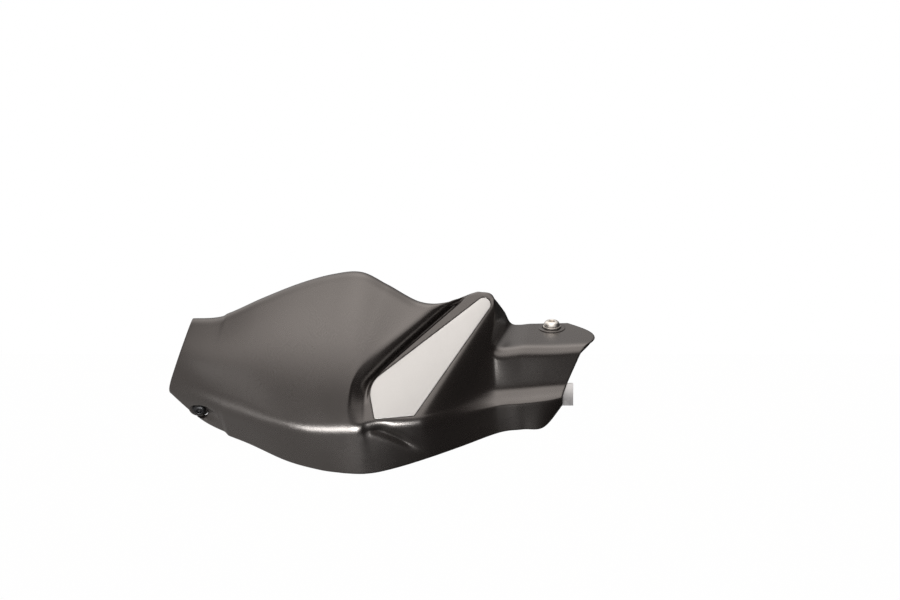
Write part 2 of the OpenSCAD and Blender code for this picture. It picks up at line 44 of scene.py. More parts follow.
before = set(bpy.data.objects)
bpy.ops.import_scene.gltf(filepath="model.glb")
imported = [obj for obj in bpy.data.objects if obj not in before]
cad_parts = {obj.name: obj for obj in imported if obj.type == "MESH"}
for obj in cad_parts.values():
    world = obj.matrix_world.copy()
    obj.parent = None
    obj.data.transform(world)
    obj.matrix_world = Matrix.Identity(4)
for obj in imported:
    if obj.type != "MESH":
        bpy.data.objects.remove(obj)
MM = 0.001
TO_METRES = Matrix.Scale(MM, 4)
norm = np.linalg.norm


# Sizes and colours


def number(name, description, default, **kind):
    """A number that the user may change."""
    return FloatProperty(name=name, description=description, default=default, **kind)


def metres(name, description, default):
    return number(name, description, default, unit="LENGTH", subtype="DISTANCE")


def tint(name, description, default):
    return FloatVectorProperty(name=name, description=description, default=default, size=3, subtype="COLOR",
        min=0, max=1)


class ShellSizes(bpy.types.PropertyGroup):
    wall: metres("Wall", "Thickness of the moulding", 0.003)
    reach: metres("Reach", "How far the face stands in front of the bar", 0.092)
    bow_radius: metres("Bow radius", "Radius of the bow, seen from above", 0.23)
    crown_lean: metres("Crown lean", "How far the crown leans back", 0.018)
    face_bulge: metres("Face bulge", "Bulge of the face between crown and crease", 0.006)
    fold: metres("Fold", "Size of the rounding along the crown", 0.007)
    crease_fold: metres("Crease fold", "Size of the rounding along the crease", 0.0045)
    pod_fold: metres("Pod fold", "Size of the rounding along the pod's crown", 0.003)
    valley: metres("Valley", "Depth of the valley beside the pod", 0.005)
    groove: metres("Groove", "Depth of the short groove under the pod", 0.0025)
    hollow: metres("Tongue hollow", "Hollow in the tongue's front wall", 0.0055)
    rim: metres("Rim", "Rounding of the moulding's free edge", 0.001)
    spacing: metres("Spacing", "Distance between the mesh's lines along the bar", 0.001)


class InlaySizes(bpy.types.PropertyGroup):
    thickness: metres("Thickness", "Thickness of the inlay", 0.0016)
    proud: metres("Proud", "How far the inlay stands out of the pod", 0.0004)
    gap: metres("Gap", "Gap round the inlay in its recess", 0.00025)
    edge: metres("Edge", "Rounding of the inlay's upper edge", 0.0005)


class FittingSizes(bpy.types.PropertyGroup):
    edge: metres("Edge", "Rounding of the cast and machined edges", 0.0006)
    pitch: metres("Pitch", "Pitch of the long bolt's thread", 0.001)
    teeth: IntProperty(name="Teeth", description="Slots cut into each push-on clip", default=6, min=3, max=12)


class Finishes(bpy.types.PropertyGroup):
    plastic: tint("Plastic", "Colour of the moulded shell", (0.022, 0.0182, 0.0168))
    silver: tint("Silver", "Colour of the inlay's paint", (0.77, 0.755, 0.735))
    alloy: tint("Alloy", "Colour of the cast brackets", (0.62, 0.61, 0.61))
    grain: metres("Grain", "Size of the grain moulded into the shell", 0.0004)


class StageSettings(bpy.types.PropertyGroup):
    lens: number("Lens", "Focal length of the camera in millimetres", 180.0)
    key: number("Key", "Strength of the light from the front and above", 1.8)
    front: number("Front", "Strength of the low light from the front right", 0.9)
    side: number("Side", "Strength of the light from the left", 0.98)
    top: number("Top", "Strength of the light overhead", 2.2)
    rear: number("Rear", "Strength of the lights from behind", 1.1)
    softness: number("Softness", "Width of each of these lights, in degrees", 20.0)
    low: number("Low", "Power that the lamps near the floor share, in watts", 1.7)
    bounce: number("Bounce", "Tone of the floor in the light that it throws back", 0.44)
    floor_drop: metres("Floor drop", "Height of the bar's axis above the floor", 0.36)


# Nodes


class Sock:
    """A node's output that takes part in arithmetic."""

    def __init__(self, graph, link):
        self.graph, self.link = graph, link

    def _maths(self, operation, a, b):
        return self.graph.add("ShaderNodeMath", {0: a, 1: b}, operation=operation)

    def __add__(self, other):
        return self._maths("ADD", self, other)

    def __sub__(self, other):
        return self._maths("SUBTRACT", self, other)

    def __rsub__(self, other):
        return self._maths("SUBTRACT", other, self)

    def __mul__(self, other):
        return self._maths("MULTIPLY", self, other)

    def __truediv__(self, other):
        return self._maths("DIVIDE", self, other)

    __radd__ = __add__
    __rmul__ = __mul__


class Graph:
    """A node tree that is filled one node at a time."""

    def __init__(self, tree):
        self.tree = tree

    def add(self, kind, values=None, out=0, stops=None, **settings):
        """Adds a node: its settings and ramp stops first, then the values or links of its sockets."""
        n = self.tree.nodes.new(kind)
        for key, value in settings.items():
            setattr(n, key, value)
        if stops:
            while len(n.color_ramp.elements) < len(stops):
                n.color_ramp.elements.new(0.5)
            for element, (place, level) in zip(n.color_ramp.elements, stops):
                element.position, element.color = place, (level, level, level, 1)
        for key, value in (values or {}).items():
            if isinstance(value, Sock):
                self.tree.links.new(value.link, n.inputs[key])
            else:
                n.inputs[key].default_value = value
        return Sock(self, n.outputs[out]) if len(n.outputs) else n


class Finish(Graph):
    """A material made of nodes, on the object's own coordinates."""

    def __init__(self, name):
        self.material = bpy.data.materials.new(name)
        self.material.use_nodes = True
        super().__init__(self.material.node_tree)
        self.tree.nodes.clear()
        self.place = self.add("ShaderNodeTexCoord", out="Object")

    def noise(self, scale, detail=2.0, rough=0.5, stretch=None):
        where = self.place
        if stretch:
            where = self.add("ShaderNodeMapping", {"Vector": where, "Scale": stretch})
        values = {"Vector": where, "Scale": scale, "Detail": detail, "Roughness": rough}
        return self.add("ShaderNodeTexNoise", values)

    def ramp(self, value, low, high):
        return self.add("ShaderNodeValToRGB", {"Fac": value}, stops=[(low, 0.0), (high, 1.0)])

    def edges(self, low, high):
        """A mask of the outward edges, which rub bare first."""
        return self.ramp(self.add("ShaderNodeNewGeometry", out="Pointiness"), low, high)

    def blend(self, amount, a, b):
        return self.add("ShaderNodeMix", {0: amount, 6: a, 7: b}, out=2, data_type="RGBA")

    def bump(self, height, distance, strength=1.0, normal=None):
        values = {"Height": height, "Distance": distance, "Strength": strength}
        if normal:
            values["Normal"] = normal
        return self.add("ShaderNodeBump", values)

    def close(self, **values):
        """Ends the material in a Principled shader; an underscore in a name stands for a space."""
        named = {key.replace("_", " "): value for key, value in values.items()}
        shader = self.add("ShaderNodeBsdfPrincipled", named)
        self.add("ShaderNodeOutputMaterial", {"Surface": shader})
        return self.material


def shade(colour, k):
    """The colour k times as bright, with its alpha."""
    return (min(1, colour[0] * k), min(1, colour[1] * k), min(1, colour[2] * k), 1.0)


def moulded_plastic(name, colour, grain, rough=0.27, depth=0.00002):
    """Fine-grained black moulding: cloudy tone, paler rubbed edges, and a pebbled skin."""
    m = Finish(name)
    cloud = m.noise(14.0, 4.0)
    speck = m.noise(1 / (grain * 1.2), 2.0)
    pebble = m.add("ShaderNodeTexVoronoi", {"Vector": m.place, "Scale": 1 / grain}, feature="SMOOTH_F1")
    edge = m.edges(0.52, 0.60)
    tone = m.blend(m.ramp(cloud, 0.35, 0.7), shade(colour, 0.92), shade(colour, 1.08))
    tone = m.blend(m.ramp(speck, 0.62, 0.8) * 0.35, tone, shade(colour, 1.5))
    tone = m.blend(edge * 0.25, tone, shade(colour, 1.9))
    skin = m.bump(pebble + speck * 0.6, depth, 0.55, m.bump(m.noise(60.0, 1.0), 0.0006, 0.06))
    dull = rough + (m.noise(35.0, 3.0) - 0.5) * 0.10 + (speck - 0.5) * 0.08
    return m.close(Base_Color=tone, Roughness=dull, IOR=1.634, Specular_IOR_Level=0.9,
        Specular_Tint=(1.0, 0.94, 0.90, 1.0), Normal=skin)


def satin_paint(name, colour):
    """Silver paint with fine flakes under a soft clear skin."""
    m = Finish(name)
    flake = m.add("ShaderNodeTexVoronoi", {"Vector": m.place, "Scale": 5200.0}, out="Color")
    glint = m.ramp(m.add("ShaderNodeSeparateColor", {"Color": flake}), 0.55, 1.0)
    tone = m.blend(m.ramp(m.noise(22.0, 3.0), 0.3, 0.7), shade(colour, 0.975), shade(colour, 1.02))
    tone = m.blend(glint * 0.16, tone, shade(colour, 1.25))
    skin = m.bump(m.noise(900.0, 1.0), 0.00003, 0.25)
    metal = 0.12 + glint * 0.25
    dull = 0.40 - glint * 0.08 + (m.noise(300.0) - 0.5) * 0.06
    return m.close(Base_Color=tone, Metallic=metal, Roughness=dull, Coat_Weight=0.12, Coat_Roughness=0.25,
        Normal=skin)


def cast_metal(name, colour, metallic=0.85, rough=0.46):
    """Bead-blasted casting: mottled tone, small pits with painted shade in their hollows, and rubbed edges."""
    m = Finish(name)
    pits = m.noise(1500.0, 3.0, 0.6)
    edge = m.edges(0.51, 0.58)
    tone = m.blend(m.ramp(m.noise(70.0, 4.0), 0.35, 0.7), shade(colour, 0.86), shade(colour, 1.04))
    # The pits' hollows, the low parts of their bump, are painted darker: painted shade.
    tone = m.blend(m.ramp(pits, 0.3, 0.5), shade(colour, 0.7), tone)
    tone = m.blend(edge * 0.5, tone, shade(colour, 1.35))
    return m.close(Base_Color=tone, Metallic=metallic, Roughness=rough + (pits - 0.5) * 0.2 - edge * 0.12,
        Normal=m.bump(pits, 0.00005, 0.5))


def turned_metal(name, colour, rough=0.26, axis=(900.0, 12.0, 12.0)):
    """Turned or rolled metal: fine rings round the axis and a little tarnish."""
    m = Finish(name)
    rings = m.noise(3.0, 3.0, stretch=axis)
    stain = m.ramp(m.noise(180.0, 4.0), 0.4, 0.75)
    tone = m.blend(rings, shade(colour, 0.86), shade(colour, 1.08))
    tone = m.blend(stain * 0.3, tone, shade(colour, 0.7))
    return m.close(Base_Color=tone, Metallic=1.0, Roughness=rough + rings * 0.12 + stain * 0.1,
        Normal=m.bump(rings, 0.00002, 0.4))


def black_zinc(name, colour=(0.018, 0.018, 0.019)):
    """Blackened steel with a faint worn sheen on its edges."""
    m = Finish(name)
    edge = m.edges(0.51, 0.6)
    mottle = m.noise(800.0, 3.0)
    tone = m.blend(mottle, shade(colour, 0.8), shade(colour, 1.4))
    tone = m.blend(edge * 0.35, tone, shade(colour, 7.0))
    return m.close(Base_Color=tone, Metallic=0.6, Roughness=0.36 + (mottle - 0.5) * 0.16,
        Normal=m.bump(mottle, 0.00002, 0.3))


def soft_rubber(name, colour=(0.02, 0.02, 0.02)):
    """Moulded rubber with a chalky bloom."""
    m = Finish(name)
    bloom = m.ramp(m.noise(120.0, 4.0), 0.45, 0.75)
    fine = m.noise(2600.0, 2.0)
    tone = m.blend(bloom * 0.4, shade(colour, 1.0), shade(colour, 1.9))
    return m.close(Base_Color=tone, Roughness=0.72 + (fine - 0.5) * 0.15, Normal=m.bump(fine, 0.00003, 0.4))


FINISH = {}


def make_finishes(c):
    """A material for each slot, with the colours that the user may change taken from c."""
    FINISH.update({
        "shell_black": moulded_plastic("Moulded black plastic", c.plastic, c.grain),
        "inlay_silver": satin_paint("Satin silver paint", c.silver),
        "spring_steel": turned_metal("Spring steel", (0.16, 0.16, 0.17), 0.34, (90.0, 90.0, 90.0)),
        "bright_steel": turned_metal("Bright zinc steel", (0.88, 0.84, 0.79), 0.24, (60.0, 60.0, 900.0)),
        "black_rubber": soft_rubber("Black rubber"),
        "cast_alloy": cast_metal("Blasted alloy", c.alloy),
        "black_nylon": moulded_plastic("Black nylon", (0.022, 0.022, 0.023), 0.0006, 0.52),
        "black_steel": black_zinc("Black zinc steel"),
        "dark_alloy": turned_metal("Dark turned alloy", (0.075, 0.075, 0.08), 0.3),
        "brass_nut": turned_metal("Turned brass", (0.60, 0.45, 0.20), 0.28),
    })


# Mesh helpers


def in_scene(name, data):
    """A new object in the scene that holds the given mesh, lamp or camera."""
    obj = bpy.data.objects.new(name, data)
    bpy.context.scene.collection.objects.link(obj)
    return obj


def mesh_object(name, bm, place=None):
    """A new object with the mesh that bm holds, moved or scaled by place."""
    mesh = bpy.data.meshes.new(name)
    bm.to_mesh(mesh)
    bm.free()
    if place:
        mesh.transform(place)
    return in_scene(name, mesh)


def make_piece(name, bm, slot, *nodes, angle=35):
    """Turns a mesh in millimetres into a finished piece that stands for CAD nodes."""
    return dress(mesh_object(name, bm, TO_METRES), slot, *nodes, angle=angle)


def dress(obj, slot, *nodes, angle=35):
    """Gives a piece its finish, and smooth faces whose edges stay sharp above the angle in degrees."""
    mesh = obj.data
    mesh.materials.clear()
    mesh.materials.append(FINISH[slot])
    for p in mesh.polygons:
        p.use_smooth = True
        p.material_index = 0
    mesh.set_sharp_from_angle(angle=math.radians(angle))
    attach(obj, "root")
    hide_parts(*nodes)
    return obj


def baked(obj, name):
    """The object with its modifiers worked into a plain mesh, which replaces it."""
    graph = bpy.context.evaluated_depsgraph_get()
    mesh = bpy.data.meshes.new_from_object(obj.evaluated_get(graph), preserve_all_data_layers=True,
        depsgraph=graph)
    mesh.name = name
    bpy.data.objects.remove(obj)
    return in_scene(name, mesh)


def rounded(points, radius, steps=4, closed=False):
    """A profile of (radius, height) points with its corners rounded; points on the axis stay."""
    points, out = [np.array(p, float) for p in points], []
    for k, p in enumerate(points):
        if (not closed and k in (0, len(points) - 1)) or p[0] <= 0:
            out.append(tuple(p))
            continue
        a, b = points[k - 1] - p, points[(k + 1) % len(points)] - p
        la, lb = norm(a), norm(b)
        r = min(radius, la * 0.45, lb * 0.45)
        start, end = p + a / la * r, p + b / lb * r
        out += [tuple(start * (1 - s) ** 2 + p * 2 * s * (1 - s) + end * s ** 2)
            for s in np.linspace(0, 1, steps + 1)]
    return out


def ring(inner, outer, low, high, radius):
    """Closed profile of a washer, collar or disc with its corners rounded."""
    return rounded([(inner, low), (outer, low), (outer, high), (inner, high)], radius, closed=True)


def rod(radius, low, high):
    """Profile of a round boss, stud or hole."""
    return [(0, low), (radius, low), (radius, high), (0, high)]


def turned(bm, profile, place, sides=64, closed=False, shape=None):
    """Sweeps a profile of (radius, height) round the Z axis; shape(k, angles) may vary ring k's radius."""
    angles = np.arange(sides) * 2 * math.pi / sides
    rings = []
    for k, (r, z) in enumerate(profile):
        if r <= 1e-6:
            rings.append([bm.verts.new(place @ Vector((0, 0, z)))])
            continue
        radii = r * (shape(k, angles) if shape else np.ones(sides))
        rings.append([bm.verts.new(place @ Vector((q * math.cos(a), q * math.sin(a), z)))
            for q, a in zip(radii, angles)])
    pairs = list(zip(rings, rings[1:])) + ([(rings[-1], rings[0])] if closed else [])
    faces = []
    for lower, upper in pairs:
        for k in range(sides):
            j = (k + 1) % sides
            a, b, c, d = k % len(lower), j % len(lower), j % len(upper), k % len(upper)
            corners = list(dict.fromkeys([lower[a], lower[b], upper[c], upper[d]]))
            if len(corners) > 2:
                faces.append(bm.faces.new(corners))
    bmesh.ops.recalc_face_normals(bm, faces=faces)
    return bm


def hexagon(angles):
    """Radius of a six-sided socket at each angle, its corners at 1."""
    return math.cos(math.pi / 6) / np.cos((angles % (math.pi / 3)) - math.pi / 6)


def screw(place, d, length, head_d, head_h, socket_r, dome=True, tip=0.5):
    """Screw with a six-sided socket: head above the local origin, shank below."""
    r, deep = head_d / 2, head_h * 0.55
    if dome:
        rim, edge = socket_r * 1.12, 0.9
        head = [(r - 0.35, 0), (r, 0.3), (r, 0.55), (r - 0.12, edge)]
        head += [(rim + (r - 0.3 - rim) * math.cos(a), edge + (head_h - edge) * math.sin(a))
            for a in np.radians([12, 26, 42, 58, 74, 90])]
    else:
        head = [(r - 0.2, 0), (r, 0.2), (r, head_h - 0.5), (r - 0.12, head_h - 0.15), (r - 0.5, head_h)]
    shank = [(0, -length), (d / 2 - tip, -length), (d / 2, -length + tip), (d / 2, -0.2), (d / 2 + 0.2, 0)]
    socket = [(socket_r * 1.08, head_h), (socket_r, head_h - 0.18), (socket_r * 0.995, head_h - deep),
        (0, head_h - deep - 0.5)]
    first = len(shank + head) + 1
    return turned(bmesh.new(), shank + head + socket, place, 48,
        shape=lambda k, a: hexagon(a) if k in (first, first + 1) else np.ones(len(a)))


def turned_piece(name, slot, node, profile, place, sides=64, shape=None):
    """A piece swept from a closed profile round the Z axis of its place."""
    make_piece(name, turned(bmesh.new(), profile, place, sides, closed=True, shape=shape), slot, node)


def softened(node, slot, width):
    """A copy of a cast or machined CAD node with its edges rounded."""
    bm = bmesh.new()
    bm.from_mesh(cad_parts[node].data)
    bmesh.ops.remove_doubles(bm, verts=bm.verts, dist=1e-6)
    bmesh.ops.dissolve_limit(bm, angle_limit=math.radians(1.5), verts=bm.verts, edges=bm.edges)
    obj = mesh_object(node + "_work", bm)
    bevel = obj.modifiers.new("Rounded edges", "BEVEL")
    bevel.width, bevel.segments, bevel.limit_method = width, 3, "ANGLE"
    bevel.angle_limit, bevel.use_clamp_overlap = math.radians(30), True
    return dress(baked(obj, node + "_finished"), slot, node)


# Form of the shell. Station lines run down the skin and are numbered from 0 at the outer tip to 16
# at the tongue's end. A rail holds the point (x, z) that each of them has there in the front view.


CROWN = np.array([[-22.6, 23.1], [-1.3, 25.1], [24.4, 36.5], [49.5, 46.4], [71.9, 52.5], [90.4, 53.7],
    [107.6, 45.4], [128.7, 34.2], [146.5, 33.6], [163.5, 39.3], [168.8, 40.1], [177, 37.4], [178.2, 21.1],
    [178.2, 2.6], [198, 3], [217.8, 3], [237.6, 4]])
CREASE = np.array([[-39.3, -23.8], [-16.5, -31.4], [7.3, -38.9], [31, -46.2], [51.5, -50.2], [68, -50.8],
    [77.9, -50.6], [83.8, -50.2], [89.8, -49.5], [95, -47.9], [110.9, -46.5], [128, -45.5], [151.8, -40.3],
    [179.5, -33], [194.7, -31.7], [209.9, -30], [223.1, -29]])
FOOT = np.array([[-38.6, -27.3], [-13.9, -48.2], [13.9, -60.7], [39.6, -72.3], [61.4, -78.2], [75.9, -80.2],
    [82.5, -80.7], [87.8, -80.9], [93.7, -80.7], [102.3, -79.5], [116.8, -75.9], [134, -70.6], [156.4, -63],
    [181.5, -54.1], [196.7, -52.1], [211.2, -50.5], [223.7, -35.6]])
REAR = np.array([[184.8, 27.1], [190.7, 18.5], [203.3, 18.7], [215.8, 18.9], [227.7, 19.1]])
LIP = np.vstack([CROWN[:12] - [0, 1.5], REAR])
LAST = len(CROWN) - 1
# The inlay's corners with their radius, its studs, and the plane of the raised pod that they lie on.
INLAY = [((191.2, 52.5), 4.5), ((94.7, -21.1), 16), ((99, -43.9), 1.6), ((125.1, -41.6), 1)]
STUDS = [(104, -34), (121, -18), (146, 9)]
POD = np.array([98.0, -42.0])
POD_TURN, POD_LEAN = math.radians(4.5), math.radians(9)
POD_RISE = math.tan(POD_LEAN) / math.cos(POD_TURN)

KNEE_START, KNEE_FULL, LATE_START = 5, 7, 9  # stations at which the lines change their course
POD_FROM, POD_TO = 8.4, 11.5  # stations between which the crown has the pod's small fold
VALLEY_END = 8.75  # station at which the valley stops at the pod
POD_FULL = 9.2  # station from which the face is the pod's plane
TONGUE_START, TONGUE_FULL = 11, 13  # stations between which the skin turns into the tongue
BOW_X = 100  # where the bow stands furthest forward
LEAN_X, LEAN_WIDTH = 75, 70  # middle and width of the crown's backward lean
CROWN_STEP = 1.6  # small step up in the crown near the outer tip
TONGUE_Y, TONGUE_SLOPE = -62, 0.1  # the tongue's front wall at its root, and its slope inboard
TONGUE_BACK = -17  # rear edge of the tongue's top
LIP_DEPTH, END_BULGE = 8, 12  # depth of the turned lip, and how far the tongue's end is rounded out
TIP_DEPTH, FLANGE_DEPTH, FOOT_DEPTH = 3, 20, 10  # depth of the flange at the tip, then, and on the tongue
RIM_LINES = np.array([0, 0.15, 0.35, 0.6, 0.85, 1.1])  # mesh lines beside a free edge
FIRST_GAP, LAST_GAP = 23, 20  # distance between the first two and the last two stations
ROWS = (10, 9, 112, 11, 20)  # mesh rows of the lip, crown fold, face, crease fold and flange
TONGUE_SCREW = (15.03, 0.21)  # station and place on the lip
FLANGE_SCREW = (0.86, 0.66)  # station and place on the flange


def mix(a, b, q):
    return a + (b - a) * q


def ease(q):
    c = np.clip(q, 0, 1)
    return c * c * (3 - 2 * c)


def soft_min(a, b, r=0.1):
    return (a + b - np.sqrt((a - b) ** 2 + r * r)) / 2


def hump(t, first, rise, fall, end):
    return ease((t - first) / rise) * (1 - ease((t - fall) / (end - fall)))


def along(rail, t):
    """Smooth curve through a rail's points at whole numbers of t."""
    n = len(rail) - 1
    k = np.minimum(n - 1, np.floor(t)).astype(int)
    f = (t - k)[..., None]
    a, b, c, d = rail[np.maximum(0, k - 1)], rail[k], rail[k + 1], rail[np.minimum(n, k + 2)]
    return b + (c - a) * f / 2 + (a * 2 - b * 5 + c * 4 - d) * f ** 2 / 2 + (b * 3 - a - c * 3 + d) * f ** 3 / 2


def valley_start(q):
    return 7.75 - 1.5 * ease(q / 0.85)


def valley_form(t, q):
    """Depth of the valley, from 0 to 1: it slants down to the pod and fades above the crease."""
    start = valley_start(q)
    across = ease((t - start) / (VALLEY_END - start)) * (1 - ease((t - VALLEY_END) / 0.25))
    return across * (1 - ease((q - 0.6) / 0.25))


def groove_form(t, q):
    """Depth of the groove under the pod, from 0 to 1: it starts at the crease and climbs away from it."""
    middle = 0.03 + 0.27 * np.maximum(0, t - 9) ** 1.35
    return hump(t, 7.4, 1.9, 10.2, 11) * np.exp(-((q - middle) / 0.12) ** 2)


def knee(q):
    low = soft_min(0.0, 1.0)
    return (soft_min(1.48 * q, 1.0) - low) / (soft_min(1.48, 1.0) - low)


def course(t, q):
    """Sideways course of a station line from the crown to the crease: even at the outer end and on
    the tongue, kneed beside the pod, and held back over the pod's inboard end."""
    k, late = knee(q), np.clip((q - 0.06) / 0.9, 0, 1)
    bending = mix(q, k, ease((t - KNEE_START) / (KNEE_FULL - KNEE_START)))
    lagging = mix(k, late, (t - LATE_START) / (TONGUE_START - LATE_START))
    easing = mix(late, q, (t - TONGUE_START) / (TONGUE_FULL - TONGUE_START))
    return np.select([t < KNEE_START, t < KNEE_FULL, t < LATE_START, t < TONGUE_START, t < TONGUE_FULL],
        [q, bending, k, lagging, easing], q)


def pod_y(x, z, reach):
    return 2 - reach + math.tan(POD_TURN) * (x - POD[0]) + POD_RISE * (z - POD[1])


class Skin:
    """The outer skin of the shell in three strips, lip, face and flange, with a fold between each two.

    A point is found from its station t and its place q across the strip, from 0 to 1."""

    def __init__(self, sizes):
        for key in ("wall", "reach", "bow_radius", "crown_lean", "face_bulge", "fold", "pod_fold",
                "crease_fold", "valley", "groove", "hollow"):
            setattr(self, key, getattr(sizes, key) / MM)

    def step(self, x):
        return CROWN_STEP * (ease((x + 1.5) / 3) - 0.5) * np.exp(-(x / 16) ** 2)

    def on_tongue(self, t):
        return ease((t - TONGUE_START) / (TONGUE_FULL - TONGUE_START))

    def face(self, t, q):
        a, b = along(CROWN, t), along(CREASE, t)
        x = mix(a[..., 0], b[..., 0], course(t, q))
        z = mix(a[..., 1], b[..., 1], q) + self.step(a[..., 0]) * (1 - q) ** 7
        bowed = self.bow_radius - np.sqrt(self.bow_radius ** 2 - (x - BOW_X) ** 2) - self.reach
        lean = self.crown_lean * np.exp(-((x - LEAN_X) / LEAN_WIDTH) ** 2) * (1 - q) ** 1.6
        bowed += lean - self.face_bulge * np.sin(math.pi * q)
        pod = pod_y(x, z, self.reach) + self.valley * valley_form(t, q)
        tongue = TONGUE_SLOPE * (x - CROWN[TONGUE_FULL][0]) + TONGUE_Y
        tongue += self.hollow * 1.9 * q ** 1.3 * (1 - q ** 8)
        start = valley_start(q)
        y = mix(mix(bowed, pod, ease((t - start + 0.35) / (POD_FULL - start))), tongue, self.on_tongue(t))
        return np.stack([x, y, z], -1)

    def lip(self, t, q):
        fold, rear = self.face(t, np.zeros_like(t)), along(LIP, t)
        rear_y = mix(fold[..., 1] + LIP_DEPTH, TONGUE_BACK, self.on_tongue(t))
        x = mix(rear[..., 0], fold[..., 0], q) + END_BULGE * np.sin(math.pi * q) * ease(t - LAST + 1)
        return np.stack([x, mix(rear_y, fold[..., 1], q), mix(rear[..., 1], fold[..., 2], q)], -1)

    def flange(self, t, q):
        fold, edge = self.face(t, np.ones_like(t)), along(FOOT, t)
        depth = mix(mix(TIP_DEPTH, FLANGE_DEPTH, ease(t / 1.2)), FOOT_DEPTH, self.on_tongue(t))
        dent = self.groove * groove_form(t, q)
        z = mix(fold[..., 2], edge[..., 1] - self.step(edge[..., 0]), q)
        return np.stack([mix(fold[..., 0], edge[..., 0], q), fold[..., 1] + depth * q + dent, z], -1)

    def sizes_at(self, t):
        """Lengths of the three strips and the share that the folds take of each, at station t."""
        zero, one = np.zeros_like(t), np.ones_like(t)
        lip_l, face_l, flange_l = (norm(form(t, zero) - form(t, one), axis=-1)
            for form in (self.lip, self.face, self.flange))
        top = mix(self.pod_fold, self.fold, np.clip(np.maximum(POD_FROM - t, t - POD_TO), 0, 1))
        low = self.crease_fold * (2 - ease((t - 2) / 1.6))
        return (lip_l, face_l, flange_l, np.minimum(0.7, top / lip_l), top / face_l, low / face_l,
            np.minimum(0.6, low / flange_l))

    def strips(self, t, rows):
        """Points of all strips at the stations t (a column), for the given number of rows in each."""
        lip_l, face_l, flange_l, a, b, c, d = self.sizes_at(t)

        def spread(length, first):
            start = RIM_LINES / length
            rest = mix(start[:, -1:], 1, np.linspace(0, 1, first + 1)[None, 1:])
            return np.hstack([start, rest])

        def bend(p, m, r, n, away=None):
            """Rounds the corner m between p and r; away is where the curve heads for when it leaves p."""
            q = (np.arange(1, n) / n)[None, :, None]
            a, b = mix(p, m if away is None else away, 2 / 3), mix(r, m, 2 / 3)
            return p * (1 - q) ** 3 + a * 3 * q * (1 - q) ** 2 + b * 3 * q ** 2 * (1 - q) + r * q ** 3

        def at(form, q):
            return form(np.broadcast_to(t, q.shape), q)

        lip = at(self.lip, (1 - a) * spread((1 - a) * lip_l, rows[0]))
        face = at(self.face, mix(b, 1 - c, np.linspace(0, 1, rows[2] + 1)[None, :]))
        flange = at(self.flange, 1 - (1 - d) * spread((1 - d) * flange_l, rows[4])[:, ::-1])
        one = np.ones_like(t)
        crown = bend(lip[:, -1:], at(self.face, 0 * one), face[:, :1], rows[1])
        corner, end = at(self.face, one), face[:, -1:]
        course_out = end - at(self.face, 1 - c - 0.01)
        reach = norm(corner - end, axis=-1, keepdims=True) / norm(course_out, axis=-1, keepdims=True)
        away = mix(corner, end + course_out * reach, self.on_tongue(t)[..., None])
        crease = bend(end, corner, flange[:, :1], rows[3], away)
        return np.concatenate([lip, crown, face, crease, flange], axis=1)


def normals_of(grid):
    n = np.cross(np.gradient(grid, axis=1), np.gradient(grid, axis=0))
    return n / norm(n, axis=-1, keepdims=True)


def rim_depth(grid, radius):
    """How far each point sinks so that the sheet's free edges are rounded."""
    def run(axis):
        step = norm(np.diff(grid, axis=axis), axis=-1)
        pad = [(1, 0), (0, 0)] if axis == 0 else [(0, 0), (1, 0)]
        total = np.pad(np.cumsum(step, axis=axis), pad)
        end = total[-1:, :] if axis == 0 else total[:, -1:]
        return np.minimum(total, end - total)
    d = np.minimum(np.minimum(run(0), run(1)), radius)
    return radius - np.sqrt(np.maximum(0, radius ** 2 - (radius - d) ** 2))


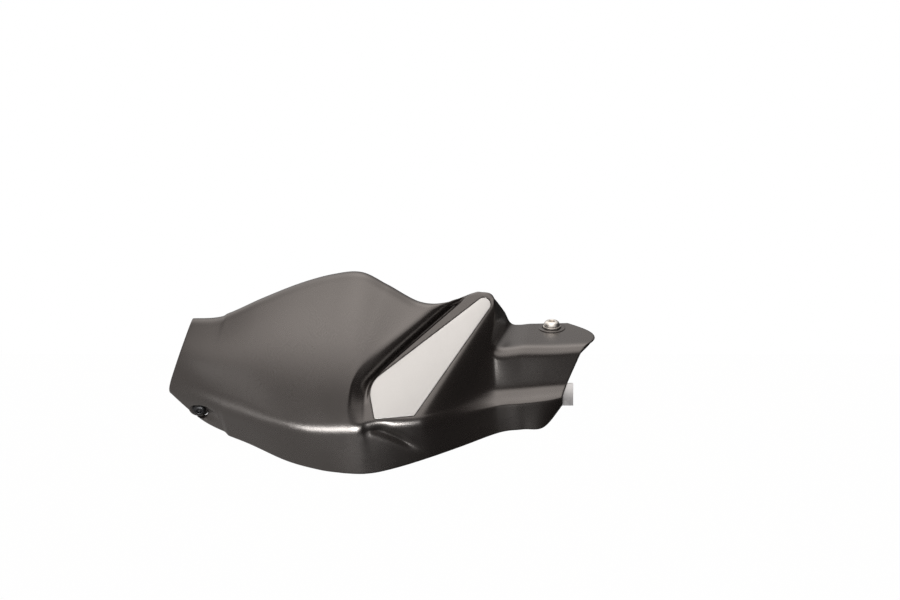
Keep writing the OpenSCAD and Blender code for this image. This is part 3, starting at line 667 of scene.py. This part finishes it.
def shell_mesh(skin, rim, spacing):
    """The moulded wall: a fine outer skin, a coarser inner skin, and rims with rounded edges."""
    beside = RIM_LINES[1:]
    t = [0.0] + [s / FIRST_GAP for s in beside]
    for k in range(LAST):
        reach = max(norm(CROWN[k + 1] - CROWN[k]), norm(CREASE[k + 1] - CREASE[k]), 8)
        n = math.ceil(reach / spacing)
        t += [k + j / n for j in range(1, n + 1) if k + j / n > t[-1] + 0.01]
    t = [v for v in t if v < LAST - 1.3 / LAST_GAP] + [LAST - s / LAST_GAP for s in beside[::-1]]
    t = np.array(t + [float(LAST)])[:, None]
    outer = skin.strips(t, ROWS)
    normal = normals_of(outer)
    keep_t = np.unique(np.r_[np.arange(0, len(t), 3), len(t) - 1])
    keep_r = np.unique(np.r_[np.arange(0, outer.shape[1], 3), outer.shape[1] - 1])
    inner = (outer - normal * (skin.wall - rim_depth(outer, rim * 0.5)[..., None]))[np.ix_(keep_t, keep_r)]
    for _ in range(3):
        inner[:, 1:-1] = inner[:, 1:-1] * 0.5 + (inner[:, :-2] + inner[:, 2:]) * 0.25
    outer = outer - normal * rim_depth(outer, rim)[..., None]
    rows, cols = outer.shape[:2]
    bm = bmesh.new()
    vo = [[bm.verts.new(p) for p in line] for line in outer]
    vi = [[bm.verts.new(p) for p in line] for line in inner]
    for i in range(rows - 1):
        for j in range(cols - 1):
            bm.faces.new((vo[i][j], vo[i][j + 1], vo[i + 1][j + 1], vo[i + 1][j]))
    for i in range(len(keep_t) - 1):
        for j in range(len(keep_r) - 1):
            bm.faces.new((vi[i][j], vi[i + 1][j], vi[i + 1][j + 1], vi[i][j + 1]))
    for end, line in ((0, 0), (rows - 1, -1)):
        for j in range(len(keep_r) - 1):
            fine = [vo[end][m] for m in range(keep_r[j], keep_r[j + 1] + 1)]
            bm.faces.new(fine + [vi[line][j + 1], vi[line][j]])
    for end, line in ((0, 0), (cols - 1, -1)):
        for i in range(len(keep_t) - 1):
            fine = [vo[m][end] for m in range(keep_t[i], keep_t[i + 1] + 1)]
            bm.faces.new(fine + [vi[i + 1][line], vi[i][line]])
    bmesh.ops.triangulate(bm, faces=[f for f in bm.faces if len(f.verts) > 4])
    bmesh.ops.recalc_face_normals(bm, faces=bm.faces)
    if bm.calc_volume(signed=True) < 0:
        bmesh.ops.reverse_faces(bm, faces=bm.faces)
    return bm


# Places of the fastenings


ARM_HALF = 4.5  # half the thickness of the arm at the bar's end
BOSS_LOW, BOSS_HIGH = -6.5, 0.6  # ends of the tongue's boss along its screw
M5_BORE, M6_BORE = 2.6, 3.1  # radius of a hole that clears the screw
CLAMP_BOLT_Y, CLAMP_BOLT_Z = 20.85, -8.2  # seats of the clamp's two bolts


def turn_x(angle):
    return Matrix.Rotation(angle, 4, "X")


def in_pod(p):
    """Place of a point (x, z) of the front view in the pod's plane."""
    dx, dz = p[0] - POD[0], p[1] - POD[1]
    dy = math.tan(POD_TURN) * dx + POD_RISE * dz
    return np.array([dx * math.cos(POD_TURN) + dy * math.sin(POD_TURN),
        (dy * math.cos(POD_TURN) - dx * math.sin(POD_TURN)) * math.sin(POD_LEAN) + dz * math.cos(POD_LEAN)])


def inlay_outline(grow=0.0, per=14):
    """The inlay's outline in the pod's plane, with its corners rounded, moved out by grow."""
    flat = [in_pod(p) for p, _ in INLAY]
    out, n = [], len(flat)
    for k, (_, r) in enumerate(INLAY):
        a, b, c = flat[k - 1], flat[k], flat[(k + 1) % n]
        u, v = (a - b) / norm(a - b), (c - b) / norm(c - b)
        half = math.acos(float(u @ v)) / 2
        m = b + (u + v) / norm(u + v) * r / math.sin(half)
        p, s = b + u * r / math.tan(half) - m, b + v * r / math.tan(half) - m
        way = np.sign(p[0] * s[1] - p[1] * s[0])
        for w in way * (math.pi - 2 * half) * np.linspace(0, 1, per):
            d = np.array([p[0] * math.cos(w) - p[1] * math.sin(w), p[0] * math.sin(w) + p[1] * math.cos(w)])
            out.append(m + d * (1 + grow / r))
    return out


class Places:
    """Where each fastening sits, worked out from the shell's skin."""

    def __init__(self, skin):
        one = np.array([[1.0]])

        def at(form, t, q):
            return form(one * t, one * q)[0, 0]

        station, across = TONGUE_SCREW
        self.tongue_at, rear, front = (at(skin.lip, station, q) for q in (across, 0, 1))
        tilt = math.atan2(rear[2] - front[2], rear[1] - front[1])
        self.tongue = Matrix.Translation(self.tongue_at) @ turn_x(tilt)
        self.clamp_x = self.tongue_at[0] - 19.5
        f = at(skin.flange, *FLANGE_SCREW)
        out, angle = math.hypot(f[1], f[2]), math.atan2(-f[2], -f[1])
        self.flange = Matrix.Translation((f[0], 0, 0)) @ turn_x(angle + math.pi / 2)
        self.head_seat, self.boss_end = out - 3.5, out - 9
        self.arm_end = self.boss_end - 1.5
        self.arm_out, self.arm_in = f[0] - ARM_HALF, f[0] + ARM_HALF
        self.pod = (Matrix.Translation((POD[0], pod_y(POD[0], POD[1], skin.reach), POD[1]))
            @ Matrix.Rotation(POD_TURN, 4, "Z") @ turn_x(math.pi / 2 - POD_LEAN))
        self.studs = [self.pod @ Matrix.Translation((*in_pod(p), 0)) for p in STUDS]
        self.bar = Matrix.Rotation(math.pi / 2, 4, "Y")


def places(context):
    return Places(Skin(context.scene.guard_shell))


def prism(bm, levels, place):
    """A closed solid through outlines at several heights; each level is (points, height)."""
    rings = [[bm.verts.new(place @ Vector((p[0], p[1], z))) for p in pts] for pts, z in levels]
    n = len(rings[0])
    faces = [bm.faces.new([lower[k], lower[(k + 1) % n], upper[(k + 1) % n], upper[k]])
        for lower, upper in zip(rings, rings[1:]) for k in range(n)]
    faces += [bm.faces.new(rings[0]), bm.faces.new(rings[-1])]
    bmesh.ops.recalc_face_normals(bm, faces=faces)


def cut(obj, bm, operation):
    """Adds a boolean step with a tool mesh in millimetres."""
    tool = mesh_object("tool", bm)
    step = obj.modifiers.new("Step", "BOOLEAN")
    step.operation, step.solver, step.object = operation, "MANIFOLD", tool
    return tool


# Geometry nodes


def tree_with(name, inputs):
    """An empty geometry tree with a Geometry input and the named inputs."""
    tree = bpy.data.node_groups.new(name, "GeometryNodeTree")
    tree.interface.new_socket("Geometry", in_out="INPUT", socket_type="NodeSocketGeometry")
    for label, kind in inputs:
        tree.interface.new_socket(label, in_out="INPUT", socket_type="NodeSocket" + kind)
    tree.interface.new_socket("Geometry", in_out="OUTPUT", socket_type="NodeSocketGeometry")
    return tree


def finish_tree(graph, geometry, material):
    """Ends a tree in real, painted geometry."""
    solid = graph.add("GeometryNodeRealizeInstances", {"Geometry": geometry})
    painted = graph.add("GeometryNodeSetMaterial", {"Geometry": solid, "Material": material})
    graph.add("NodeGroupOutput", {"Geometry": painted})


def run_tree(obj, tree, values, name):
    """Puts the tree on the object with its named inputs set, and bakes the result."""
    modifier = obj.modifiers.new(tree.name, "NODES")
    modifier.node_group = tree
    for item in tree.interface.items_tree:
        if item.in_out == "INPUT" and item.name in values:
            modifier[item.identifier] = values[item.name]
    return baked(obj, name)


def repeat_tree():
    """Copies of one template on every point."""
    tree = tree_with("Repeat on points", [("Template", "Object"), ("Finish", "Material")])
    g = Graph(tree)
    source = tree.nodes.new("NodeGroupInput")
    template = g.add("GeometryNodeObjectInfo", {"Object": Sock(g, source.outputs["Template"])}, out="Geometry")
    copies = g.add("GeometryNodeInstanceOnPoints",
        {"Points": Sock(g, source.outputs["Geometry"]), "Instance": template})
    finish_tree(g, copies, Sock(g, source.outputs["Finish"]))
    return tree


def thread_tree():
    """A screw thread: a ridge that climbs round the local Z axis, joined to the given shank."""
    tree = tree_with("Screw thread", [("Radius", "Float"), ("Length", "Float"), ("Pitch", "Float"),
        ("Start", "Vector"), ("Turn", "Vector"), ("Finish", "Material")])
    g = Graph(tree)
    source = tree.nodes.new("NodeGroupInput")
    get = {s.name: Sock(g, s) for s in source.outputs if s.name}
    turns, ridge_r = get["Length"] / get["Pitch"], get["Pitch"] * 0.36
    inset = get["Radius"] - ridge_r
    path = g.add("GeometryNodeCurveSpiral", {"Resolution": 20, "Rotations": turns, "Start Radius": inset,
        "End Radius": inset, "Height": get["Length"]})
    profile = g.add("GeometryNodeCurvePrimitiveCircle", {"Resolution": 6, "Radius": ridge_r})
    ridge = g.add("GeometryNodeCurveToMesh", {"Curve": path, "Profile Curve": profile, "Fill Caps": True})
    placed = g.add("GeometryNodeTransform",
        {"Geometry": ridge, "Translation": get["Start"], "Rotation": get["Turn"]})
    joined = tree.nodes.new("GeometryNodeJoinGeometry")
    tree.links.new(placed.link, joined.inputs[0])
    tree.links.new(get["Geometry"].link, joined.inputs[0])
    finish_tree(g, Sock(g, joined.outputs[0]), get["Finish"])
    return tree


def repeated(name, bm, points, slot, *nodes):
    """A template mesh in millimetres, copied to every point by the repeat tree."""
    template = mesh_object(name + "_template", bm, TO_METRES)
    mesh = bpy.data.meshes.new("points")
    mesh.from_pydata([Vector(p) * MM for p in points], [], [])
    done = run_tree(in_scene("points", mesh), repeat_tree(), {"Template": template, "Finish": FINISH[slot]}, name)
    bpy.data.objects.remove(template)
    return dress(done, slot, *nodes)


# Operators


class GUARD_OT_shell(bpy.types.Operator):
    """Build the moulded shell with its recess, seats, bosses and holes"""
    bl_idname = "guard.shell"
    bl_label = "Shell"

    def execute(self, context):
        sizes, inlay = context.scene.guard_shell, context.scene.guard_inlay
        skin = Skin(sizes)
        at = Places(skin)
        obj = mesh_object("guard_shell_work", shell_mesh(skin, sizes.rim / MM, sizes.spacing / MM))
        tools = []

        def step(operation, profile, place, sides=64):
            tools.append(cut(obj, turned(bmesh.new(), profile, place, sides), operation))

        seat, top = at.head_seat, at.head_seat + 12
        step("UNION", rounded(rod(9, BOSS_LOW, BOSS_HIGH), 0.4), at.tongue)
        step("UNION", rounded(rod(7, at.boss_end, seat - 0.2), 0.4), at.flange)
        step("DIFFERENCE", [(0, -12), (6.1, -12), (6.1, 0.1), (6.5, 0.6), (7.6, 1.6), (0, 1.6)], at.tongue)
        step("DIFFERENCE", [(0, seat - 12), (4.1, seat - 12), (4.1, seat), (5.4, seat), (6, seat + 0.6),
            (6, seat + 3), (6.5, seat + 4.2), (7.8, seat + 5.4), (14, top), (0, top)], at.flange)
        floor, gap = (inlay.proud - inlay.thickness) / MM, inlay.gap / MM
        levels = [(0, floor), (0, -0.4), (0.12, -0.14), (0.4, 0.03), (1.4, 0.5), (1.4, 4)]
        recess = bmesh.new()
        prism(recess, [(inlay_outline(gap + wider), height) for wider, height in levels], at.pod)
        tools.append(cut(obj, recess, "DIFFERENCE"))
        for stud in at.studs:
            step("DIFFERENCE", rod(1.7, -8, 1), stud, 32)
        done = baked(obj, "guard_shell_moulding")
        for tool in tools:
            bpy.data.objects.remove(tool)
        if len(done.data.polygons) < 20000:
            raise RuntimeError("a boolean step on the shell failed")
        done.data.transform(TO_METRES)
        dress(done, "shell_black", "guard_shell", angle=38)
        return {"FINISHED"}


class GUARD_OT_inlay(bpy.types.Operator):
    """Build the satin inlay with its studs, and the clips that hold it"""
    bl_idname = "guard.inlay"
    bl_label = "Inlay"

    def execute(self, context):
        sizes, teeth = context.scene.guard_inlay, context.scene.guard_fittings.teeth
        at = places(context)
        low, high, r = (sizes.proud - sizes.thickness) / MM, sizes.proud / MM, sizes.edge / MM
        levels = [(-0.15, low), (0, low + 0.15), (0, high - r)]
        levels += [(r * (math.cos(a) - 1), high - r + r * math.sin(a)) for a in np.radians([22, 45, 68, 90])]
        bm = bmesh.new()
        prism(bm, [(inlay_outline(grow), height) for grow, height in levels], at.pod)
        for stud in at.studs:
            turned(bm, rounded(rod(1.6, -6.5, high - 0.6), 0.3), stud, 32)
        make_piece("inlay", bm, "inlay_silver", "accent_panel", angle=50)
        clip = rounded([(1.72, -3.6), (3.0, -3.88), (4.5, -3.88), (4.5, -3.12), (3.1, -3.12), (1.72, -2.95)],
            0.12, closed=True)
        clip = [(a, b - 0.03) for a, b in clip]

        def toothed(k, angles):
            return 1 + (0.22 if clip[k][0] < 2.6 else 0) * (np.cos(angles * teeth) > 0.72)

        bm = turned(bmesh.new(), clip, at.pod.to_3x3().to_4x4(), 72, closed=True, shape=toothed)
        spots = [stud.translation for stud in at.studs]
        repeated("push_clips", bm, spots, "spring_steel", "accent_clips")
        return {"FINISHED"}


class GUARD_OT_tongue_fixing(bpy.types.Operator):
    """Build the screw on the tongue with its washer, collar and grommet"""
    bl_idname = "guard.tongue_fixing"
    bl_label = "Tongue fixing"

    def execute(self, context):
        at = places(context)
        base, top = 0.62, 1.8
        bm = screw(at.tongue @ Matrix.Translation((0, 0, top)), d=6, length=16.3, head_d=11.1, head_h=3.33,
            socket_r=2.3)
        make_piece("tongue_screw_head", bm, "bright_steel", "tongue_screw")
        turned_piece("tongue_washer_ring", "bright_steel", "tongue_washer",
            ring(M6_BORE, 5.9, base, top, 0.35), at.tongue)
        turned_piece("tongue_collar_tube", "bright_steel", "tongue_collar",
            ring(M6_BORE, 4.3, BOSS_LOW, BOSS_HIGH, 0.2), at.tongue)
        turned_piece("tongue_grommet_ring", "black_rubber", "tongue_grommet",
            ring(4.35, 6, BOSS_LOW, BOSS_HIGH, 0.4), at.tongue)
        return {"FINISHED"}


class GUARD_OT_bracket(bpy.types.Operator):
    """Build the clamp bracket, its cap, sleeve, pad, bolts and washers"""
    bl_idname = "guard.bracket"
    bl_label = "Clamp bracket"

    def execute(self, context):
        edge = context.scene.guard_fittings.edge
        at = places(context)
        softened("inner_bracket", "cast_alloy", edge)
        softened("clamp_cap", "cast_alloy", edge)
        softened("bracket_pad", "black_rubber", edge)
        softened("clamp_sleeve", "black_nylon", edge * 0.4)
        spots = [(at.clamp_x, side * CLAMP_BOLT_Y, CLAMP_BOLT_Z) for side in (-1, 1)]
        bm = screw(turn_x(math.pi), d=5, length=14.2, head_d=8, head_h=5, socket_r=2.25, dome=False)
        repeated("clamp_bolt_pair", bm, spots, "black_steel", "clamp_bolts")
        bm = turned(bmesh.new(), ring(M5_BORE, 4.5, 0.01, 1.2, 0.25), Matrix(), 48, closed=True)
        repeated("clamp_washer_pair", bm, spots, "bright_steel", "clamp_washers")
        return {"FINISHED"}


class GUARD_OT_outer_fixing(bpy.types.Operator):
    """Build the arm at the bar's end with the small screw, its collar and its washer"""
    bl_idname = "guard.outer_fixing"
    bl_label = "Outer fixing"

    def execute(self, context):
        at = places(context)
        softened("outer_arm", "cast_alloy", context.scene.guard_fittings.edge)
        bm = screw(at.flange @ Matrix.Translation((0, 0, at.head_seat)), d=5,
            length=at.head_seat - at.arm_end + 12, head_d=9.5, head_h=2.85, socket_r=2.0)
        make_piece("flange_screw_head", bm, "black_steel", "flange_screw")
        turned_piece("flange_collar_tube", "bright_steel", "flange_collar",
            ring(M5_BORE, 4, at.boss_end, at.head_seat, 0.2), at.flange)
        turned_piece("flange_washer_ring", "black_nylon", "flange_washer",
            ring(M5_BORE, 7, at.arm_end, at.boss_end, 0.3), at.flange)
        return {"FINISHED"}


class GUARD_OT_bar_end(bpy.types.Operator):
    """Build the weight, the long bolt and the expander that goes into the bar"""
    bl_idname = "guard.bar_end"
    bl_label = "Bar end"

    def execute(self, context):
        at = places(context)
        start, disc, plug, cone = at.arm_in, -2, 22, 34
        long = -start + disc
        belt, end, washer = long * 0.2, start + long, at.arm_out - 1.2
        weight = rounded([(M6_BORE, start), (14.2, start), (15, start + 0.9), (15, start + 2 * belt),
            (14, start + 2 * belt + 0.3), (14, start + 3 * belt - 0.3), (15, start + 3 * belt), (15, end - 0.9),
            (14.2, end), (M6_BORE, end)], 0.3, closed=True)
        turned_piece("weight_body", "dark_alloy", "bar_end_weight", weight, at.bar, 96)
        turned_piece("thrust_disc_ring", "bright_steel", "thrust_disc",
            ring(M6_BORE, 11.1, disc, 0, 0.3), at.bar, 72)
        turned_piece("bar_end_washer_ring", "bright_steel", "bar_end_washer",
            ring(M6_BORE, 6.6, washer, at.arm_out, 0.25), at.bar, 72)
        grip = [(7.9 - (0.4 if k % 4 in (2, 3) else 0), 1.4 + k * 0.6) for k in range(32)]
        grip = [(3.5, 0), (7.4, 0), (7.9, 0.5)] + grip + [(7.9, plug - 0.5), (7.4, plug), (3.5, plug)]
        turned_piece("expander_rubber", "black_rubber", "expander_sleeve", grip, at.bar, 72)
        nut = rounded([(M6_BORE, plug), (6.0, plug), (7.5, cone), (M6_BORE, cone)], 0.3, closed=True)
        turned_piece("expander_nut", "brass_nut", "expander_cone", nut, at.bar, 96,
            shape=lambda k, a: 1 - 0.035 * (np.cos(a * 24) > 0.3) * (k > 8))
        place = Matrix.Translation((washer, 0, 0)) @ Matrix.Rotation(-math.pi / 2, 4, "Y")
        bm = screw(place, d=5.2, length=cone - at.arm_out + 1.2, head_d=10.5, head_h=3.15, socket_r=2.3)
        obj = mesh_object("bar_end_bolt_work", bm, TO_METRES)
        done = run_tree(obj, thread_tree(), {"Radius": 0.003, "Length": 0.03,
            "Pitch": context.scene.guard_fittings.pitch, "Start": (0.0035, 0, 0),
            "Turn": (0, math.pi / 2, 0), "Finish": FINISH["black_steel"]}, "bar_end_long_bolt")
        dress(done, "black_steel", "bar_end_bolt")
        return {"FINISHED"}


# The stage's lamps near the floor: name, place, target, width, height and share of their power.
LAMPS = (
    ("low", (-0.01, -0.33, -0.30), (0.05, -0.09, -0.05), 0.24, 0.10, 0.56),
    ("low_left", (-0.31, -0.26, -0.33), (0.0, -0.09, -0.04), 0.36, 0.06, 0.07),
    ("left", (-0.7, -0.6, -0.16), (0.0, -0.09, -0.04), 0.5, 0.26, 0.13),
    ("low_pod", (0.12, -0.42, -0.33), (0.11, -0.09, -0.05), 0.07, 0.12, 0.9),
)
WHITE = (1, 1, 1, 1)
MM_PER_PIXEL, IMAGE_WIDTH, SENSOR = 0.66, 900, 36
AIM = (0.1485, -0.07, 0.0343)  # the point in the middle of the picture


class GUARD_OT_stage(bpy.types.Operator):
    """Lay the pale floor, hang the lamps and set the camera"""
    bl_idname = "guard.stage"
    bl_label = "Stage"

    def execute(self, context):
        stage = context.scene.guard_stage
        self.floor(stage)
        context.scene.world = self.sky(stage)
        for name, place, target, width, height, share in LAMPS:
            data = bpy.data.lights.new(name, "AREA")
            data.shape, data.size, data.size_y, data.energy = "RECTANGLE", width, height, stage.low * share
            obj = in_scene(name, data)
            obj.location = place
            obj.rotation_euler = (Vector(target) - Vector(place)).to_track_quat("-Z", "Y").to_euler()
            obj.visible_camera = obj.visible_diffuse = False
        data = bpy.data.cameras.new("camera")
        data.lens, data.sensor_width, data.clip_end = stage.lens, SENSOR, 100
        cam = in_scene("camera", data)
        span = IMAGE_WIDTH * MM_PER_PIXEL * MM
        cam.location = (AIM[0], AIM[1] - span * stage.lens / SENSOR, AIM[2])
        cam.rotation_euler = (math.pi / 2, 0, 0)
        context.scene.camera = cam
        context.scene.view_settings.view_transform = "Standard"
        return {"FINISHED"}

    def floor(self, stage):
        """A matt floor that the camera sees pale, and that throws back less light inboard."""
        bm = bmesh.new()
        bmesh.ops.create_grid(bm, x_segments=8, y_segments=8, size=30)
        floor = mesh_object("studio_floor", bm, Matrix.Translation((0.1, 0, -stage.floor_drop)))
        m = Finish("Pale studio floor")
        ray = m.add("ShaderNodeLightPath", out="Is Camera Ray")
        seen = m.blend(m.noise(3.0, 2.0), (0.80, 0.80, 0.80, 1), (0.83, 0.83, 0.83, 1))
        across = m.add("ShaderNodeSeparateXYZ", {"Vector": m.place})
        level = m.add("ShaderNodeMapRange",
            {"Value": across, "From Min": -0.05, "From Max": 0.14, "To Min": stage.bounce, "To Max": 0.03})
        thrown = m.add("ShaderNodeCombineColor", {0: level, 1: level, 2: level})
        matt = m.add("ShaderNodeBsdfDiffuse", {"Color": m.blend(ray, thrown, seen)})
        white = m.add("ShaderNodeEmission", {"Color": WHITE, "Strength": 1.0})
        both = m.add("ShaderNodeMixShader", {0: ray * 0.97, 1: matt, 2: white})
        m.add("ShaderNodeOutputMaterial", {"Surface": both})
        floor.data.materials.append(m.material)

    def sky(self, stage):
        """The studio's soft lights, each a round lobe in the world; the camera sees plain white."""
        world = bpy.data.worlds.new("Studio")
        world.use_nodes = True
        world.node_tree.nodes.clear()
        g = Graph(world.node_tree)
        way = g.add("ShaderNodeTexCoord", out="Generated")

        def towards(turn, rise):
            """Cosine of the angle to a direction, turned from the front towards +X and raised, in degrees."""
            a, b = math.radians(turn), math.radians(rise)
            aim = (math.cos(b) * math.sin(a), -math.cos(b) * math.cos(a), math.sin(b))
            return g.add("ShaderNodeVectorMath", {0: way, 1: aim}, out="Value", operation="DOT_PRODUCT")

        soft = 1 / math.radians(stage.softness) ** 2
        level = 0.007
        for turn, rise, power in ((-10, 37, stage.key), (20, 14, stage.front), (-50, 12, stage.side),
                (0, 86, stage.top), (-135, 40, stage.rear), (150, 62, stage.rear * 0.3)):
            lobe = g.add("ShaderNodeMath", {0: (towards(turn, rise) - 1) * soft}, operation="EXPONENT")
            level = lobe * power + level
        path = g.tree.nodes.new("ShaderNodeLightPath")
        behind = g.add("ShaderNodeMapRange",
            {"Value": towards(180, 40), "From Min": 0.7, "From Max": 0.96, "To Max": 0.06})
        seen = Sock(g, path.outputs["Is Camera Ray"]) + Sock(g, path.outputs["Is Transmission Ray"])
        warm = g.add("ShaderNodeCombineColor", {0: level, 1: level * 0.965, 2: level * 0.94})
        light = g.add("ShaderNodeBackground", {"Color": warm})
        white = g.add("ShaderNodeBackground", {"Color": WHITE})
        share = seen + Sock(g, path.outputs["Is Glossy Ray"]) * behind
        g.add("ShaderNodeOutputWorld", {"Surface": g.add("ShaderNodeMixShader", {0: share, 1: light, 2: white})})
        return world


class GUARD_PT_panel(bpy.types.Panel):
    """Lists the pieces of the hand guard and their sizes"""
    bl_idname = "GUARD_PT_panel"
    bl_label = "Hand Guard"
    bl_space_type = "VIEW_3D"
    bl_region_type = "UI"
    bl_category = "Hand Guard"

    def draw(self, context):
        for step in STEPS:
            self.layout.operator(step.bl_idname)
        for name in GROUPS:
            group, box = getattr(context.scene, name), self.layout.box()
            for key in group.bl_rna.properties.keys():
                if key not in ("rna_type", "name"):
                    box.prop(group, key)


STEPS = (GUARD_OT_stage, GUARD_OT_shell, GUARD_OT_inlay, GUARD_OT_tongue_fixing, GUARD_OT_bracket,
    GUARD_OT_outer_fixing, GUARD_OT_bar_end)
GROUPS = {"guard_shell": ShellSizes, "guard_inlay": InlaySizes, "guard_fittings": FittingSizes,
    "guard_finishes": Finishes, "guard_stage": StageSettings}


def register():
    for name, group in GROUPS.items():
        bpy.utils.register_class(group)
        setattr(bpy.types.Scene, name, PointerProperty(type=group))
    for item in STEPS + (GUARD_PT_panel,):
        bpy.utils.register_class(item)


def unregister():
    for item in reversed(STEPS + (GUARD_PT_panel,)):
        bpy.utils.unregister_class(item)
    for name, group in GROUPS.items():
        delattr(bpy.types.Scene, name)
        bpy.utils.unregister_class(group)


def main():
    register()
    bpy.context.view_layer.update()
    make_finishes(bpy.context.scene.guard_finishes)
    for step in STEPS:
        part, action = step.bl_idname.split(".")
        getattr(getattr(bpy.ops, part), action)()


if __name__ == "__main__":
    main()
